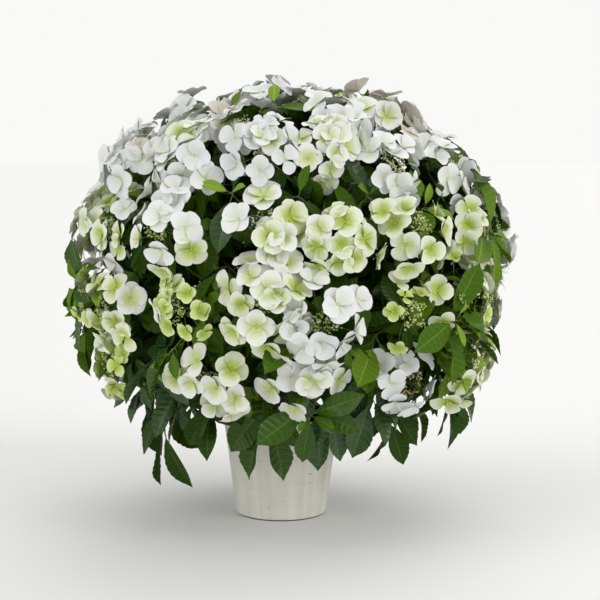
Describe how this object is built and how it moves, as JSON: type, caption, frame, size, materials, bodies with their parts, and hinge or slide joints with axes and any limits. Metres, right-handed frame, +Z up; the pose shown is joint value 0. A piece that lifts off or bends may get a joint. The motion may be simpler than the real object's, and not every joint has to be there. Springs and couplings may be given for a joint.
{
  "type": "potted lacecap hydrangea",
  "caption": "Flowering lacecap shrub: a dome of flat flower heads over pointed leaves, on slender boughs rising from a short stem in a tapering bark-clad pot.",
  "frame": {"origin": "middle of the pot's flat underside, on the surface the pot stands on", "axes": "+Z up along the pot's axis, -Y towards the front, +X to the right seen from the front"},
  "size_m": [0.6292, 0.6179, 0.6479],
  "materials": {
    "bark_sleeve": "pale birch bark",
    "soil": "dark moist compost",
    "old_wood": "brown-green bark",
    "foliage": "leaves and petals"
  },
  "bodies": {
    "root": {"pot": "bark_sleeve", "soil": "soil", "main_stem": "old_wood", "bough_skirt_1": "old_wood", "bough_skirt_2": "old_wood", "bough_skirt_3": "old_wood", "bough_skirt_4": "old_wood", "bough_skirt_5": "old_wood", "bough_skirt_6": "old_wood", "bough_shoulder_1": "old_wood", "bough_shoulder_2": "old_wood", "bough_shoulder_3": "old_wood", "bough_shoulder_4": "old_wood", "bough_shoulder_5": "old_wood", "bough_top_1": "old_wood", "bough_top_2": "old_wood", "bough_top_3": "old_wood", "foliage_skirt_1": "foliage", "foliage_skirt_2": "foliage", "foliage_skirt_3": "foliage", "foliage_skirt_4": "foliage", "foliage_skirt_5": "foliage", "foliage_skirt_6": "foliage", "foliage_shoulder_1": "foliage", "foliage_shoulder_2": "foliage", "foliage_shoulder_3": "foliage", "foliage_shoulder_4": "foliage", "foliage_shoulder_5": "foliage", "foliage_top_1": "foliage", "foliage_top_2": "foliage", "foliage_top_3": "foliage"}
  },
  "joints": []
}
